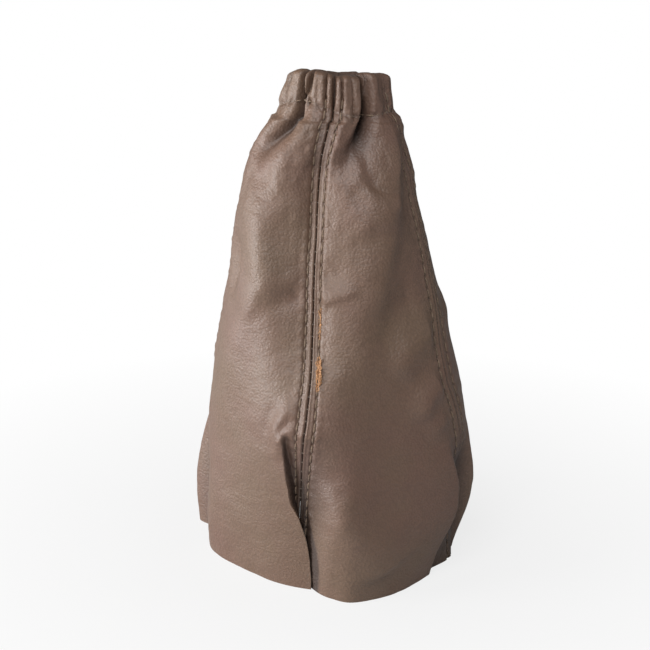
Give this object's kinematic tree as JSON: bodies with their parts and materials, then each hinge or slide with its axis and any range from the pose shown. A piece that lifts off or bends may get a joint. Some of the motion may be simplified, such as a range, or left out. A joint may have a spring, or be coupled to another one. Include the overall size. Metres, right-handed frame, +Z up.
{
  "type": "gear lever gaiter",
  "caption": "Tapered leatherette boot for a gear lever, sewn from panels, gathered on an elastic at its narrow neck and open at its wide foot.",
  "frame": {"origin": "centre of the footprint's box, on the surface that the cut lower edge rests on", "axes": "+Z up from the foot to the neck, -Y out of the front panel, +X out of the right panel"},
  "size_m": [0.1206, 0.1112, 0.2215],
  "materials": {
    "leatherette": "fine pebble grain, semi-gloss, worn",
    "topstitch_thread": "twisted polyester thread",
    "joining_thread": "twisted polyester thread",
    "frayed_thread": "loose worn thread",
    "elastic": "woven elastic tape"
  },
  "bodies": {
    "root": {"panel_front": "leatherette", "panel_right": "leatherette", "panel_rear": "leatherette", "panel_left": "leatherette", "front_left_seam_topstitch_left": "topstitch_thread", "front_left_seam_topstitch_right": "topstitch_thread", "front_left_seam_joining_thread": "joining_thread", "front_right_seam_topstitch_left": "topstitch_thread", "front_right_seam_topstitch_right": "topstitch_thread", "front_right_seam_joining_thread": "joining_thread", "rear_right_seam_topstitch_left": "topstitch_thread", "rear_right_seam_topstitch_right": "topstitch_thread", "rear_right_seam_joining_thread": "joining_thread", "rear_left_seam_topstitch_left": "topstitch_thread", "rear_left_seam_topstitch_right": "topstitch_thread", "rear_left_seam_joining_thread": "joining_thread", "neck_hem_stitching": "topstitch_thread", "neck_elastic": "elastic", "frayed_thread": "frayed_thread"}
  },
  "joints": []
}
